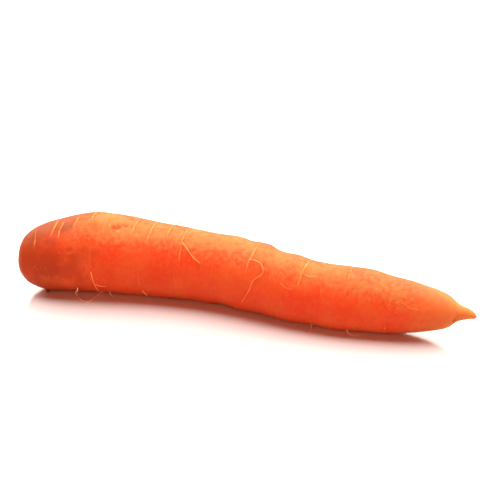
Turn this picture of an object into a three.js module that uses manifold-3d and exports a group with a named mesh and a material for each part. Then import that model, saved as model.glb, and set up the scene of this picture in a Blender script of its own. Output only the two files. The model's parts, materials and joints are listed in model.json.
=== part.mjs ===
// A carrot lying on its side: the long orange root, with the trimmed leaf stalks in its crown.
// Millimetres, +Z up. The crown is at -X and the tip at +X, and the belly rests at Z = 0.
import * as THREE from 'three';
import { LoftGeometry } from 'three/addons/geometries/LoftGeometry.js';
import { mergeVertices } from 'three/addons/utils/BufferGeometryUtils.js';
import Module from 'manifold-3d';

// Driving sizes of the root
const ROOT_LENGTH = 196;
const SIDES = 36;
const RING_SPACING = 3.6;

// Half thickness at each distance from the crown's rim
const HALF_THICKNESS = [
	[ 0, 7.9 ], [ 0.3, 8.7 ], [ 0.9, 9.6 ], [ 2.2, 11 ], [ 5, 12.8 ], [ 9, 14.2 ], [ 14, 15.7 ], [ 21, 16.8 ],
	[ 31, 17.35 ], [ 43, 16.9 ], [ 55, 16.1 ], [ 67, 15.5 ], [ 79, 15 ], [ 91, 15.1 ], [ 103, 14.75 ],
	[ 115, 13.9 ], [ 127, 13.45 ], [ 139, 13.3 ], [ 150, 13 ], [ 160, 12 ], [ 168, 10.8 ], [ 175, 9.4 ],
	[ 181, 7.9 ], [ 185.5, 5.95 ], [ 188, 3.8 ], [ 191, 2.65 ], [ 193.5, 1.9 ], [ ROOT_LENGTH, 0.6 ],
];

// How far the middle of the root sways to +Y at each distance from the crown
const SWAY = [
	[ 0, - 2.6 ], [ 13, 0.4 ], [ 25, 2.9 ], [ 43, 5.7 ], [ 63, 7 ], [ 83, 6.4 ], [ 103, 2.4 ],
	[ 123, - 2.5 ], [ 143, - 4.1 ], [ 163, - 3.9 ], [ 179, - 4.2 ], [ ROOT_LENGTH, - 4.8 ],
];

// How far the underside lifts off the surface towards the tip
const TIP_LIFT = [
	[ 0, 0 ], [ 158, 0 ], [ 170, 1.6 ], [ 181, 4.2 ], [ 185.5, 6 ], [ 188, 8.4 ], [ 191, 9.6 ],
	[ 193.5, 10.3 ], [ ROOT_LENGTH, 10.7 ],
];

// The crown's end: height of its middle, and the hollow that the leaf stalks grow from
const CROWN_MIDDLE = 15.4;
const CROWN_END = 21;
const CROWN_HOLLOW = [ [ 2.8, 0.8 ], [ 2.95, 2.8 ], [ 2.4, 5 ], [ 1, 6.5 ], [ 0.2, 7.3 ] ];

// Flat resting spots under the belly, and the small gap that the belly keeps between them
const RESTING_SPOTS = [ 43, 88, 139 ];
const SPOT_REACH = 13;
const SPOT_DEPTH = 0.5;
const BELLY_GAP = 0.25;

// Swells and dents of the skin: at, around (degrees, 0 = +Y, 90 = up), rise, reach along, reach around
const SWELLS = [
	[ 112, 70, - 0.5, 5, 50 ],
	[ 121, 70, 0.5, 5.5, 45 ],
	[ 130.5, 75, - 0.45, 6, 50 ],
	[ 9, 80, 0.7, 4.5, 50 ],
	[ 20, 75, - 0.4, 5, 50 ],
	[ 43, 70, 0.4, 5, 40 ],
	[ 58, 75, - 0.45, 6, 50 ],
	[ 89, 75, 0.5, 6, 50 ],
	[ 98.5, 75, - 0.6, 3, 50 ],
	[ 107, 75, 0.4, 3, 50 ],
	[ 125, 75, - 0.45, 4, 50 ],
	[ 140, 75, 0.4, 6, 50 ],
	[ 40, 240, - 0.5, 7, 28 ],
	[ 62, 240, 0.35, 7, 28 ],
	[ 88.5, 238, - 0.85, 4.5, 28 ],
	[ 98, 240, 0.5, 4, 28 ],
	[ 117, 240, 0.45, 6, 28 ],
	[ 120, 140, - 0.4, 4, 18 ],
	[ 41, 115, - 0.3, 4, 18 ],
	[ 44, 10, 0.45, 11, 50 ],
	[ 86, 25, - 0.4, 9, 50 ],
	[ 151, 350, 0.4, 8, 50 ],
	[ 24, 330, - 0.3, 8, 40 ],
];

// Raised root scars across the skin: at, from angle, to angle, slant, height
const SCARS = [
	[ 7.3, 100, 147, 0, 0.2 ],
	[ 15, 90, 121, 0, 0.25 ],
	[ 18.3, 103, 137, 0, 0.25 ],
	[ 23.8, 86, 118, 0, 0.25 ],
	[ 30.4, 77, 108, 0, 0.25 ],
	[ 34.2, 160, 230, 0, 0.12 ],
	[ 37.4, 90, 128, 0, 0.15 ],
	[ 49, 77, 132, 0, 0.25 ],
	[ 53, 170, 213, 0, 0.12 ],
	[ 56, 75, 128, 0, 0.25 ],
	[ 63.2, 76, 119, 0, 0.25 ],
	[ 68, 180, 220, 0, 0.12 ],
	[ 70.7, 90, 154, 0, 0.3 ],
	[ 101.5, 78, 154, - 2.4, 0.25 ],
	[ 124.8, 78, 158, - 2.2, 0.3 ],
	[ 133.4, 144, 168, 0, 0.12 ],
	[ 144.1, 78, 131, 0, 0.25 ],
];
const SCAR_HALF_WIDTH = 0.9;
const SCAR_GROOVE = 0.4;
const SCAR_END_SOFTNESS = 10;
const FAR_SCAR_TURN = 190;
const FAR_SCAR_SWING = 45;
const FAR_SCAR_SHARE = 0.7;

// Rootlets that lie along the skin: half thickness, and points of distance, angle and height over the skin
const ROOTLETS = [
	[ 0.38, [ [ 70.4, 118, - 1.4 ], [ 71, 124, 0.6 ], [ 74, 133, 0.9 ], [ 77.3, 144, 1.1 ], [ 80.4, 150, 1.3 ] ] ],
	[ 0.3, [ [ 99.6, 129, - 1.4 ], [ 101.6, 129, 0.5 ], [ 104.4, 127, 0.6 ], [ 107.4, 132, 0.6 ],
		[ 108.2, 144, 0.6 ], [ 104.8, 159, 0.6 ], [ 103.1, 176, 0.6 ], [ 99.5, 203, 0.7 ] ] ],
	[ 0.3, [ [ 122.8, 124, - 1.4 ], [ 124.6, 124, 0.5 ], [ 128, 128, 0.6 ], [ 131.4, 124, 0.7 ] ] ],
	[ 0.32, [ [ 33.6, 182, - 1.4 ], [ 34.2, 190, 0.4 ], [ 34.9, 210, 0.5 ], [ 36.4, 231, 0.9 ] ] ],
	[ 0.3, [ [ 34.6, 208, - 1 ], [ 36.6, 208, 0.6 ], [ 39.6, 209, 0.8 ] ] ],
	[ 0.34, [ [ 54.6, 214, - 1.4 ], [ 54.6, 219, 0.7 ], [ 54.2, 230, 1.2 ] ] ],
	[ 0.8, [ [ 11.6, 238, - 2 ], [ 11.8, 240, 0.2 ], [ 12.2, 242, 0.8 ] ] ],
	[ 0.32, [ [ 47, 20, - 1.4 ], [ 48, 15, 0.6 ], [ 52, 5, 0.8 ], [ 57.5, 0, 0.9 ] ] ],
	[ 0.3, [ [ 92, 340, - 1.4 ], [ 93, 345, 0.6 ], [ 95, 357, 0.7 ], [ 92.4, 372, 0.8 ] ] ],
	[ 0.3, [ [ 139, 30, - 1.4 ], [ 140, 26, 0.6 ], [ 144.4, 18, 0.7 ], [ 147, 6, 0.8 ] ] ],
];
const ROOTLET_SIDES = 5;
const ROOTLET_STEP = 2.2;

// Trimmed leaf stalks in the crown's hollow, grown together at their foot
const STALK_FOOT_RADIUS = 4.3;
const STALK_FOOT_FROM = 2.05;
const STALK_FOOT_TO = 1.1;
const STALK_SIDES = 8;
const STALK_RINGS = [
	{ count: 6, reach: 3.5, width: 2.6, depth: 1.5, cut: - 0.3 },
	{ count: 4, reach: 1.5, width: 1.9, depth: 1.2, cut: - 0.6 },
];

const DEGREE = Math.PI / 180;

// A smooth curve through hand-set points, flat wherever the points turn back
function alongCurve( points, at ) {

	const last = points.length - 1;
	const slopes = points.slice( 1 ).map( ( p, i ) => ( p[ 1 ] - points[ i ][ 1 ] ) / ( p[ 0 ] - points[ i ][ 0 ] ) );
	const tangent = ( i ) => {

		if ( i === 0 || i === last ) return slopes[ Math.min( i, last - 1 ) ];
		const before = slopes[ i - 1 ];
		const after = slopes[ i ];
		return before * after > 0 ? 2 * before * after / ( before + after ) : 0;

	};

	let i = 0;
	while ( i < last - 1 && at > points[ i + 1 ][ 0 ] ) i ++;
	const span = points[ i + 1 ][ 0 ] - points[ i ][ 0 ];
	const t = THREE.MathUtils.clamp( ( at - points[ i ][ 0 ] ) / span, 0, 1 );
	const t2 = t * t;
	const t3 = t2 * t;
	return ( 2 * t3 - 3 * t2 + 1 ) * points[ i ][ 1 ]
		+ ( t3 - 2 * t2 + t ) * span * tangent( i )
		+ ( 3 * t2 - 2 * t3 ) * points[ i + 1 ][ 1 ]
		+ ( t3 - t2 ) * span * tangent( i + 1 );

}

// The shorter way round from one angle to another, in degrees
function turnBetween( from, to ) {

	return THREE.MathUtils.euclideanModulo( to - from + 180, 360 ) - 180;

}

// How far the belly sinks below the surface line, before its resting spots are cut flat
function bellySink( at ) {

	const nearest = Math.min( ...RESTING_SPOTS.map( ( spot ) => Math.abs( at - spot ) ) );
	const share = 1 - THREE.MathUtils.smoothstep( nearest, 0, SPOT_REACH );
	return ( SPOT_DEPTH + BELLY_GAP ) * share - BELLY_GAP;

}

// The middle of the root at a distance from the crown
function middle( at ) {

	const lying = alongCurve( HALF_THICKNESS, at ) + alongCurve( TIP_LIFT, at ) - bellySink( at );
	const crownShare = 1 - THREE.MathUtils.smoothstep( at, 0, CROWN_END );
	const height = THREE.MathUtils.lerp( lying, CROWN_MIDDLE, crownShare );
	return new THREE.Vector3( at, alongCurve( SWAY, at ), height );

}

// The rise of the skin's swells and dents at a place
function swell( at, around ) {

	let rise = 0;
	for ( const [ place, angle, height, reach, spread ] of SWELLS ) {

		const along = ( at - place ) / reach;
		const across = turnBetween( angle, around ) / spread;
		rise += height * Math.exp( - along * along - across * across );

	}

	return rise;

}

// A point on the skin, or over it by the height given
function skinPoint( at, around, over = 0 ) {

	const radius = Math.max( alongCurve( HALF_THICKNESS, at ) + swell( at, around ) + over, 0.1 );
	const centre = middle( at );
	const angle = around * DEGREE;
	return new THREE.Vector3( at, centre.y + radius * Math.cos( angle ), centre.z + radius * Math.sin( angle ) );

}

// How much of a scar shows at an angle: 1 along its run and 0 away from it
function scarShare( around, from, to ) {

	const fromMiddle = Math.abs( turnBetween( ( from + to ) / 2, around ) );
	const half = ( to - from ) / 2;
	return 1 - THREE.MathUtils.smoothstep( fromMiddle, half - SCAR_END_SOFTNESS, half + SCAR_END_SOFTNESS / 2 );

}

// Each scar has a shorter partner on the far side of the root, at the same distance from the crown
function farScar( [ at, from, to, , ], index ) {

	const turn = FAR_SCAR_TURN + FAR_SCAR_SWING * Math.sin( 2.4 * index );
	const centre = ( from + to ) / 2 + turn;
	const half = FAR_SCAR_SHARE * ( to - from ) / 2;
	return [ at, centre - half, centre + half ];

}

// One cross-section of the root, which may carry a scar's crest or the grooves beside it
function rootSection( { at, scar = null, index = 0, crest = 0 } ) {

	const points = [];
	for ( let i = 0; i < SIDES; i ++ ) {

		const around = 360 * i / SIDES;
		let place = at;
		let over = 0;
		if ( scar ) {

			const [ , from, to, slant, height ] = scar;
			const [ , farFrom, farTo ] = farScar( scar, index );
			const share = Math.max( scarShare( around, from, to ), scarShare( around, farFrom, farTo ) );
			place += slant * Math.sin( turnBetween( ( from + to ) / 2, around ) * DEGREE );
			over = crest * height * share;

		}

		const point = skinPoint( place, around, over );
		point.z = Math.max( point.z, 0 );
		points.push( point );

	}

	return points;

}

// A ring round the crown's hollow, which keeps the middle of the crown's end
function hollowSection( [ at, radius ] ) {

	const centre = middle( 0 );
	const points = [];
	for ( let i = 0; i < SIDES; i ++ ) {

		const angle = 2 * Math.PI * i / SIDES;
		points.push( new THREE.Vector3( at, centre.y + radius * Math.cos( angle ), centre.z + radius * Math.sin( angle ) ) );

	}

	return points;

}

// The rings that shape the root: three at each scar, the ends' own, and even ones in the gaps between
function rootRings() {

	const rings = HALF_THICKNESS.filter( ( [ at ] ) => at < 6 || at > 185 ).map( ( [ at ] ) => ( { at } ) );
	SCARS.forEach( ( scar, index ) => {

		rings.push( { at: scar[ 0 ] - SCAR_HALF_WIDTH, scar, index, crest: - SCAR_GROOVE } );
		rings.push( { at: scar[ 0 ], scar, index, crest: 1 } );
		rings.push( { at: scar[ 0 ] + SCAR_HALF_WIDTH, scar, index, crest: - SCAR_GROOVE } );

	} );
	rings.sort( ( a, b ) => a.at - b.at );
	const filled = [];
	rings.forEach( ( ring, i ) => {

		filled.push( ring );
		if ( i === rings.length - 1 ) return;
		const gap = rings[ i + 1 ].at - ring.at;
		const pieces = Math.ceil( gap / RING_SPACING );
		for ( let k = 1; k < pieces; k ++ ) filled.push( { at: ring.at + gap * k / pieces } );

	} );
	return filled;

}

function rootBody() {

	const sections = [ ...CROWN_HOLLOW.map( hollowSection ), ...rootRings().map( rootSection ) ];
	return new LoftGeometry( sections, { capStart: true, capEnd: true } );

}

// A thin rootlet that starts inside the root and tapers along its way over the skin
function rootlet( [ halfThickness, places ] ) {

	const curve = new THREE.CatmullRomCurve3( places.map( ( [ at, around, over ] ) => skinPoint( at, around, over ) ) );
	const steps = Math.ceil( curve.getLength() / ROOTLET_STEP );
	const frames = curve.computeFrenetFrames( steps );
	const sections = [];
	for ( let i = 0; i <= steps; i ++ ) {

		const centre = curve.getPointAt( i / steps );
		const points = [];
		for ( let k = 0; k < ROOTLET_SIDES; k ++ ) {

			const angle = 2 * Math.PI * k / ROOTLET_SIDES;
			points.push( centre.clone()
				.addScaledVector( frames.normals[ i ], halfThickness * Math.cos( angle ) )
				.addScaledVector( frames.binormals[ i ], halfThickness * Math.sin( angle ) ) );

		}

		sections.push( points );

	}

	return new LoftGeometry( sections, { capStart: true, capEnd: true } );

}

const wasm = await Module();
wasm.setup();

// A closed mesh with shared corners, as a solid that can be joined to others
function toSolid( geometry ) {

	const bare = new THREE.BufferGeometry();
	bare.setAttribute( 'position', geometry.attributes.position );
	bare.setIndex( geometry.index );
	const merged = mergeVertices( bare, 1e-5 );
	return new wasm.Manifold( new wasm.Mesh( {
		numProp: 3,
		vertProperties: new Float32Array( merged.attributes.position.array ),
		triVerts: new Uint32Array( merged.index.array ),
	} ) );

}

function toGeometry( solid ) {

	const mesh = solid.getMesh();
	const geometry = new THREE.BufferGeometry();
	geometry.setAttribute( 'position', new THREE.BufferAttribute( mesh.vertProperties, 3 ) );
	geometry.setIndex( new THREE.BufferAttribute( mesh.triVerts, 1 ) );
	geometry.computeVertexNormals();
	return geometry;

}

function fused( geometries ) {

	return toGeometry( geometries.map( toSolid ).reduce( ( whole, piece ) => whole.add( piece ) ) );

}

// A flattened round bar along X, from one distance to another, at a place on the crown's face
function stalkBar( centre, angle, width, depth, from, to ) {

	const sections = [ to, from ].map( ( at ) => {

		const points = [];
		for ( let k = 0; k < STALK_SIDES; k ++ ) {

			const turn = 2 * Math.PI * k / STALK_SIDES;
			const outwards = depth / 2 * Math.cos( turn );
			const across = width / 2 * Math.sin( turn );
			points.push( new THREE.Vector3(
				at,
				centre.y + outwards * Math.cos( angle ) - across * Math.sin( angle ),
				centre.z + outwards * Math.sin( angle ) + across * Math.cos( angle ),
			) );

		}

		return points;

	} );
	return new LoftGeometry( sections, { capStart: true, capEnd: true } );

}

// Rings of stalk ends, standing out of the thin plate where they grow together
function leafStalks() {

	const crown = middle( 0 );
	const footWidth = 2 * STALK_FOOT_RADIUS;
	const bars = [ stalkBar( crown, 0, footWidth, footWidth, STALK_FOOT_FROM, STALK_FOOT_TO ) ];
	STALK_RINGS.forEach( ( ring, level ) => {

		for ( let i = 0; i < ring.count; i ++ ) {

			const angle = 2 * Math.PI * ( i + 0.5 * level ) / ring.count;
			const centre = new THREE.Vector3(
				0,
				crown.y + ring.reach * Math.cos( angle ),
				crown.z + ring.reach * Math.sin( angle ),
			);
			const cut = ring.cut - 0.3 * Math.sin( 5 * i + level );
			bars.push( stalkBar( centre, angle, ring.width, ring.depth, STALK_FOOT_FROM - 0.4, cut ) );

		}

	} );
	return fused( bars );

}

// Finishes
const orangeSkin = new THREE.MeshStandardMaterial( { color: 0xe2552d, roughness: 0.45, metalness: 0 } );
const dryStalk = new THREE.MeshStandardMaterial( { color: 0x7c6a3c, roughness: 0.8, metalness: 0 } );

const carrot = new THREE.Group();

const taproot = new THREE.Mesh( fused( [ rootBody(), ...ROOTLETS.map( rootlet ) ] ), orangeSkin );
taproot.name = 'taproot';
carrot.add( taproot );

const stalks = new THREE.Mesh( leafStalks(), dryStalk );
stalks.name = 'leaf_stalk_stubs';
carrot.add( stalks );

// The origin is on the surface, under the middle of the whole carrot
const box = new THREE.Box3().setFromObject( carrot );
const centre = box.getCenter( new THREE.Vector3() );
carrot.position.set( - centre.x, - centre.y, 0 );

export default carrot;
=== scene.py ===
# %% [markdown]
# # A carrot lying on a pale surface
#
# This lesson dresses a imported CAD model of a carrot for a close, soft-lit picture. The CAD
# model already holds the true form at its true size: a long root with a gentle S-bend, and
# the trimmed leaf stalks in its crown. Here each of them is rebuilt as a finer mesh that
# keeps that form, and then given the small things that make it look grown: scars across the
# skin, pits, wrinkles, thin rootlets, and a skin whose colour changes from place to place.
#
# Everything is in metres in the frame of the CAD model. +X runs from the crown to the tip,
# +Z is up, and the belly rests at Z = 0. Small sizes are easier to read in millimetres, so
# the tables below are in millimetres and a single value, MM, turns them into metres.

# %% Load the CAD frame
import json
import math

import bpy
import numpy as np
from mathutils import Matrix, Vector, noise

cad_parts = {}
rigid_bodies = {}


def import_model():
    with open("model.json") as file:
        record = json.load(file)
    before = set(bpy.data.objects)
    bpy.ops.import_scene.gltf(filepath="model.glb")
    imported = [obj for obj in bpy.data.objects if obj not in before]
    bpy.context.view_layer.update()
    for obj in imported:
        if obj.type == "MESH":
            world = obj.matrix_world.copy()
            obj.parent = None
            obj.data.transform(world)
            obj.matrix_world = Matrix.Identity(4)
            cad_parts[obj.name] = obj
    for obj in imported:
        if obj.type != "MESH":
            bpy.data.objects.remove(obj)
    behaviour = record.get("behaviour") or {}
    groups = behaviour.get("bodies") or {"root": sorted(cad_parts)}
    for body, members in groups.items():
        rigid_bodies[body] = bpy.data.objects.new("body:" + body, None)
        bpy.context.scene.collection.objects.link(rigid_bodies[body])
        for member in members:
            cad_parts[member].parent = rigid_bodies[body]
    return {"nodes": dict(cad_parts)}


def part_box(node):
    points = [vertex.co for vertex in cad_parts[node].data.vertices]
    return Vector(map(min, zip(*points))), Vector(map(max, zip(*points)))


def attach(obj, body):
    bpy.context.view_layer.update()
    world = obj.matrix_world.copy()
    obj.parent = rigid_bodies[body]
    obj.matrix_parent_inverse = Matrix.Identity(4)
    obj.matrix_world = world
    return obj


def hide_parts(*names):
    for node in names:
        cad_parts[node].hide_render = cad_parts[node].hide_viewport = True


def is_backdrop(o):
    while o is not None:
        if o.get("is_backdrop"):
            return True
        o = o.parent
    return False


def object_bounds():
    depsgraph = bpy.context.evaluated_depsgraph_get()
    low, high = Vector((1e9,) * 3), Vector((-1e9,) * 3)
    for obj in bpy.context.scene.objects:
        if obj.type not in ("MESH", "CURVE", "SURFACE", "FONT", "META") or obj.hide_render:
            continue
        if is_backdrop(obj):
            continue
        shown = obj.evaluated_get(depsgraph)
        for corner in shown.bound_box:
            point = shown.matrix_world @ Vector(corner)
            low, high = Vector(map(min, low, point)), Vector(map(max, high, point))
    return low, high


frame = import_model()
cad_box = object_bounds()
MM = 0.001
print("CAD nodes:", sorted(frame["nodes"]))
print("CAD box:", [tuple(round(c, 4) for c in corner) for corner in cad_box])

# %% [markdown]
# ## Camera
#
# The picture is square and looks down on the carrot from its right-hand side. A long lens
# far away keeps the root from bulging towards us. The camera is placed by three plain
# facts: how far it is turned about the carrot, how high it looks down from, and how far it
# is from the spot on the surface that sits in the middle of the picture.

# %% Place the camera
CAMERA_TURN = math.radians(15)
CAMERA_HEIGHT = math.radians(24)
CAMERA_DISTANCE = 711 * MM
AIM = Vector((-13.9, 57.5, 0)) * MM
SENSOR = 36
PICTURE_PIXELS = 500
FOCAL_PIXELS = 1543

back = Vector((
    math.sin(CAMERA_TURN) * math.cos(CAMERA_HEIGHT),
    -math.cos(CAMERA_TURN) * math.cos(CAMERA_HEIGHT),
    math.sin(CAMERA_HEIGHT),
))
camera_data = bpy.data.cameras.new("camera")
camera_data.sensor_width = SENSOR
camera_data.lens = SENSOR * FOCAL_PIXELS / PICTURE_PIXELS
camera_data.clip_start = 0.01
camera = bpy.data.objects.new("camera", camera_data)
camera.location = AIM + back * CAMERA_DISTANCE
camera.rotation_euler = back.to_track_quat("Z", "Y").to_euler()
bpy.context.scene.collection.objects.link(camera)
bpy.context.scene.camera = camera
print("lens, mm:", round(camera_data.lens, 1))

# %% [markdown]
# ## Surface and light
#
# The carrot lies on a plain white sheet under soft studio light. A wide lamp hangs overhead
# and a little behind, so the upper skin glows and the near flank stays deep in colour. The
# sheet throws light back up at the belly. It is slightly glossy, so close to the belly it
# mirrors the orange flank and the shadow there turns warm. A weak, reddish lamp in front
# lifts the shadows, and the world adds an even fill. The sheet itself is only middle grey,
# but the overhead lamp lights it so strongly that it looks plain white outside the shadow.

# %% Lay the surface and hang the lamps
SHEET_WIDTH = 6.0
SHEET_GREY = (0.51, 0.48, 0.51)
LAMP_WHITE = (0.98, 0.98, 0.88)
LAMP_RED = (1, 0.23, 0.11)
FILL_PEACH = (1, 0.7, 0.5, 1)
FILL = 0.1


def glossy_material(name, colour, roughness, ior):
    material = bpy.data.materials.new(name)
    material.use_nodes = True
    shader = material.node_tree.nodes["Principled BSDF"]
    shader.inputs["Base Color"].default_value = (*colour, 1)
    shader.inputs["Roughness"].default_value = roughness
    shader.inputs["IOR"].default_value = ior
    return material


bpy.ops.object.select_all(action="DESELECT")
bpy.ops.mesh.primitive_plane_add(size=SHEET_WIDTH)
sheet = bpy.context.object
sheet.name = "white_sheet"
sheet.data.materials.append(glossy_material("pale_paper", SHEET_GREY, roughness=0.2, ior=1.8))
sheet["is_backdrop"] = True


def soft_lamp(name, place, aim, width, height, watts, colour):
    data = bpy.data.lights.new(name, "AREA")
    data.shape = "RECTANGLE"
    data.size = width
    data.size_y = height
    data.energy = watts
    data.color = colour
    lamp = bpy.data.objects.new(name, data)
    lamp.location = place
    lamp.rotation_euler = (Vector(place) - Vector(aim)).to_track_quat("Z", "Y").to_euler()
    bpy.context.scene.collection.objects.link(lamp)


soft_lamp(
    "overhead_lamp",
    place=(0, 0.55, 1.16),
    aim=(0, 0, 0),
    width=4.4,
    height=2.4,
    watts=198,
    colour=LAMP_WHITE,
)
soft_lamp(
    "front_lamp",
    place=(0.15, -1.0, 0.5),
    aim=(0, 0, 0.02),
    width=1.8,
    height=0.5,
    watts=18,
    colour=LAMP_RED,
)
world = bpy.data.worlds.new("studio")
world.use_nodes = True
background = world.node_tree.nodes["Background"]
background.inputs["Color"].default_value = FILL_PEACH
background.inputs["Strength"].default_value = FILL
bpy.context.scene.world = world
bpy.context.scene.view_settings.view_transform = "Standard"

# %% [markdown]
# ## The form of the root
#
# A carrot is a round root that thickens quickly behind the crown, tapers slowly, and closes
# in a short cone. It can be described by three curves along its length: how thick it is, how
# far its middle sways to one side, and how high the middle is. The CAD model was made from
# the same curves, so they are repeated here, and one look at the CAD mesh tells where the
# crown and the tip lie in the frame.
#
# Each row of a curve is a distance from the crown and the value there. The root lies on its
# belly, so the height of its middle follows from its thickness and from how far the tip is
# lifted. It sinks a little at three resting spots, and towards the crown's end it goes over
# to one set height.

# %% Curves along the root
ROOT_LENGTH = 196
HALF_THICKNESS = (
    (0, 7.9), (0.3, 8.7), (0.9, 9.6), (2.2, 11), (5, 12.8), (9, 14.2), (14, 15.7), (21, 16.8),
    (31, 17.35), (43, 16.9), (55, 16.1), (67, 15.5), (79, 15), (91, 15.1), (103, 14.75),
    (115, 13.9), (127, 13.45), (139, 13.3), (150, 13), (160, 12), (168, 10.8), (175, 9.4),
    (181, 7.9), (185.5, 5.95), (188, 3.8), (191, 2.65), (193.5, 1.9), (ROOT_LENGTH, 0.6),
)
SWAY = (
    (0, -2.6), (13, 0.4), (25, 2.9), (43, 5.7), (63, 7), (83, 6.4), (103, 2.4), (123, -2.5),
    (143, -4.1), (163, -3.9), (179, -4.2), (ROOT_LENGTH, -4.8),
)
TIP_LIFT = (
    (0, 0), (158, 0), (170, 1.6), (181, 4.2), (185.5, 6), (188, 8.4), (191, 9.6), (193.5, 10.3),
    (ROOT_LENGTH, 10.7),
)
CROWN_MIDDLE = 15.4
CROWN_END = 21
RESTING_SPOTS = (43, 88, 139)
SPOT_REACH = 13
SPOT_DEPTH = 0.5
BELLY_GAP = 0.25


def smooth(value, low, high):
    """0 below low, 1 above high, and a soft step between."""
    t = np.clip((np.asarray(value, float) - low) / (high - low), 0, 1)
    return t * t * (3 - 2 * t)


def along_curve(points, at):
    """A smooth curve through given points, flat wherever the points turn back."""
    x, y = np.array(points, float).T
    step = np.diff(x)
    slope = np.diff(y) / step
    tangent = np.empty(len(x))
    tangent[0] = slope[0]
    tangent[-1] = slope[-1]
    product = slope[:-1] * slope[1:]
    total = np.where(product > 0, slope[:-1] + slope[1:], 1)
    tangent[1:-1] = np.where(product > 0, 2 * product / total, 0)
    at = np.clip(at, x[0], x[-1])
    i = np.clip(np.searchsorted(x, at, side="right") - 1, 0, len(x) - 2)
    t = (at - x[i]) / step[i]
    rise = 3 * t**2 - 2 * t**3
    lead = (t**3 - 2 * t**2 + t) * step[i] * tangent[i]
    tail = (t**3 - t**2) * step[i] * tangent[i + 1]
    return y[i] * (1 - rise) + y[i + 1] * rise + lead + tail


def half_thickness(at):
    return along_curve(HALF_THICKNESS, at)


def middle_height(at):
    at = np.asarray(at, float)
    nearest = np.min([np.abs(at - spot) for spot in RESTING_SPOTS], axis=0)
    sink = (SPOT_DEPTH + BELLY_GAP) * (1 - smooth(nearest, 0, SPOT_REACH)) - BELLY_GAP
    lying = half_thickness(at) + along_curve(TIP_LIFT, at) - sink
    crown_share = 1 - smooth(at, 0, CROWN_END)
    return lying * (1 - crown_share) + CROWN_MIDDLE * crown_share


# %% [markdown]
# The curves start at the crown, but the CAD frame starts under the middle of the carrot. The
# lowest X of the root gives the crown's place, and the few vertices at its highest X tell
# how far the whole root is shifted to the side.

# %% Find the crown and the tip in the frame
TIP_SLICE = 0.01
root_low, root_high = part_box("taproot")
tip_starts = root_high.x - TIP_SLICE * MM
tip_y = [v.co.y for v in frame["nodes"]["taproot"].data.vertices if v.co.x > tip_starts]
CROWN_X = root_low.x / MM
SIDE_SHIFT = sum(tip_y) / len(tip_y) / MM - SWAY[-1][1]


def middle_side(at):
    return along_curve(SWAY, at) + SIDE_SHIFT


def skin_place(at, around, over):
    """A point in metres: so far from the crown, at an angle (0 = +Y, 90 = up), over the skin."""
    reach = float(half_thickness(at)) + over
    angle = math.radians(around)
    y = float(middle_side(at)) + reach * math.cos(angle)
    z = float(middle_height(at)) + reach * math.sin(angle)
    return Vector((CROWN_X + at, y, z)) * MM


print("crown at x", round(CROWN_X, 2), "mm, side shift", round(SIDE_SHIFT, 2), "mm")

# %% [markdown]
# ## The skin as a mesh
#
# The skin could be a sculpted lump, but a root grows ring after ring, and it can be made
# that way too: a small circle in the middle of the crown's hollow is extruded again and
# again, out over the rim, along the body and into the tip. Each new ring is moved and
# resized about the middle of the root. That gives even rows of four-sided faces, which a
# Subdivision Surface modifier then rounds. The rows of CROWN_HOLLOW are a distance from the
# crown and a radius. Over the rim the rings stand where the thickness curve has its rows, and
# further on they are evenly spaced.

# %% Extrude the rings of the root
RING_SIDES = 40
RING_STEP = 1.42
RIM_END = 3
CROWN_HOLLOW = ((2.8, 0.8), (2.95, 2.8), (2.4, 5), (1, 6.5), (0.2, 7.3))


def ring_list():
    """(distance, half thickness, side, height) of each ring, from the hollow to the tip."""
    crown = (float(middle_side(0)), float(middle_height(0)))
    found = [(at, radius, *crown) for at, radius in CROWN_HOLLOW]
    stations = [at for at, _ in HALF_THICKNESS if at < RIM_END]
    count = round((ROOT_LENGTH - stations[-1]) / RING_STEP)
    stations += list(np.linspace(stations[-1], ROOT_LENGTH, count + 1)[1:])
    for at in stations:
        radius = float(half_thickness(at))
        found.append((at, radius, float(middle_side(at)), float(middle_height(at))))
    return found


def face_outwards():
    """Turns every face of the mesh in edit mode outwards, and leaves edit mode."""
    bpy.ops.mesh.select_all(action="SELECT")
    bpy.ops.mesh.normals_make_consistent(inside=False)
    bpy.ops.object.mode_set(mode="OBJECT")


rings = ring_list()
bpy.ops.object.select_all(action="DESELECT")
first = rings[0]
bpy.ops.mesh.primitive_circle_add(
    vertices=RING_SIDES,
    radius=first[1] * MM,
    fill_type="NOTHING",
    location=Vector((CROWN_X + first[0], first[2], first[3])) * MM,
    rotation=(0, math.pi / 2, 0),
)
skin = bpy.context.object
skin.name = "carrot_skin"
bpy.ops.object.transform_apply(location=True, rotation=True, scale=True)
bpy.ops.object.mode_set(mode="EDIT")
bpy.ops.mesh.select_all(action="SELECT")
for before, after in zip(rings, rings[1:]):
    step = Vector((after[0] - before[0], after[2] - before[2], after[3] - before[3])) * MM
    growth = after[1] / before[1]
    centre = Vector((CROWN_X + after[0], after[2], after[3])) * MM
    bpy.ops.mesh.extrude_region_move(TRANSFORM_OT_translate={"value": step})
    bpy.ops.transform.resize(value=(1, growth, growth), center_override=centre)
bpy.ops.mesh.edge_face_add()
bpy.ops.mesh.select_all(action="DESELECT")
bpy.ops.object.mode_set(mode="OBJECT")
for vertex in skin.data.vertices[:RING_SIDES]:
    vertex.select = True
bpy.ops.object.mode_set(mode="EDIT")
bpy.ops.mesh.select_mode(type="VERT")
bpy.ops.mesh.edge_face_add()
face_outwards()
print("rings:", len(rings), "faces:", len(skin.data.polygons))

# %% [markdown]
# The cage of rings is coarse, so that it is quick to extrude. Two levels of subdivision turn
# each of its four-sided faces into sixteen. The modifier is applied at once, because the
# relief that follows needs the fine vertices.


# %% Round the cage
def pick(piece):
    """Makes the piece the only selected one and the active one."""
    bpy.ops.object.select_all(action="DESELECT")
    piece.select_set(True)
    bpy.context.view_layer.objects.active = piece


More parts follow.
